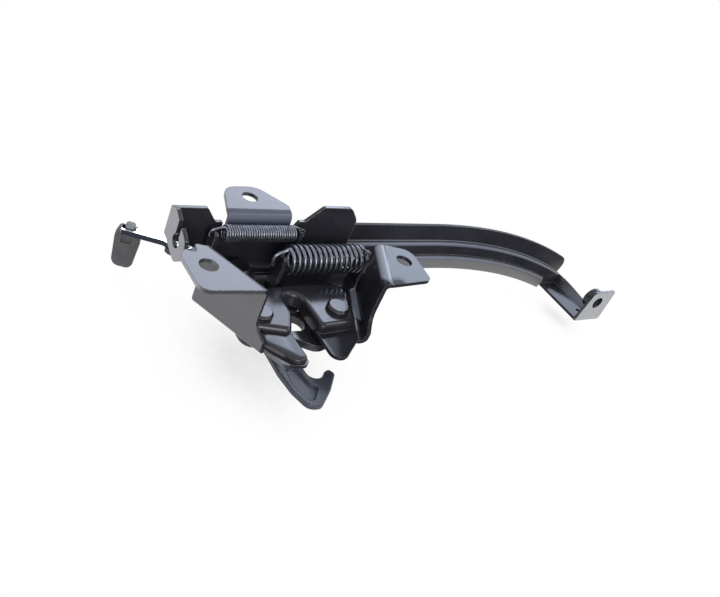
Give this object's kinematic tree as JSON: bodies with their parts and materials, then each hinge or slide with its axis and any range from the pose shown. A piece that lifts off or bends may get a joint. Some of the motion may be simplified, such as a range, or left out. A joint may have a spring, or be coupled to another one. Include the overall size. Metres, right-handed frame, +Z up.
{
  "type": "bonnet latch",
  "caption": "Bonnet latch: folded black base with a claw and pawl under a raised horseshoe, coil springs, a safety hook with a grip, and a curved side brace with a foot.",
  "frame": {"origin": "midway between the two side ear holes, on the top face of the ears", "axes": "+X along the brace to its foot, +Y from the open mouth to the back wall, +Z up out of the dish, along the ear bolts"},
  "size_m": [0.3399, 0.1483, 0.0731],
  "materials": {
    "black_coat": "gloss black dip coat",
    "hook_coat": "satin dark coat",
    "bright_zinc": "bright zinc",
    "spring_wire": "oiled dark spring wire",
    "grip_plastic": "dark moulded plastic"
  },
  "bodies": {
    "base": {"base_plate": "black_coat", "claw_rivet": "black_coat", "pawl_rivet": "black_coat", "safety_rivet": "black_coat", "claw_spring": "spring_wire", "pawl_spring": "spring_wire", "lever_spring": "spring_wire", "safety_spring": "spring_wire", "brace": "black_coat", "weld_nut": "black_coat"},
    "claw": {"claw": "black_coat"},
    "pawl": {"pawl": "black_coat", "release_lever": "black_coat"},
    "safety_lever": {"safety_hook": "hook_coat", "handle_strip": "bright_zinc", "handle_rivets": "bright_zinc", "handle_grip": "grip_plastic"}
  },
  "joints": [
    {"name": "claw_hinge", "type": "hinge", "parent": "base", "child": "claw", "pos_m": [0.0225, -0.004, -0.0398], "axis": [0, 0, 1], "range_deg": [0, 45], "deforming": ["claw_spring"]},
    {"name": "pawl_hinge", "type": "hinge", "parent": "base", "child": "pawl", "pos_m": [-0.0225, -0.004, -0.0398], "axis": [0, 0, 1], "range_deg": [0, 8], "deforming": ["pawl_spring", "lever_spring"]},
    {"name": "safety_hinge", "type": "hinge", "parent": "base", "child": "safety_lever", "pos_m": [-0.019, 0.03, -0.046], "axis": [0, 0, -1], "range_deg": [0, 16], "deforming": ["safety_spring"]}
  ],
  "couplings": [
    {"joint": "pawl_hinge", "follows": "claw_hinge", "ratio": 0.17778}
  ]
}
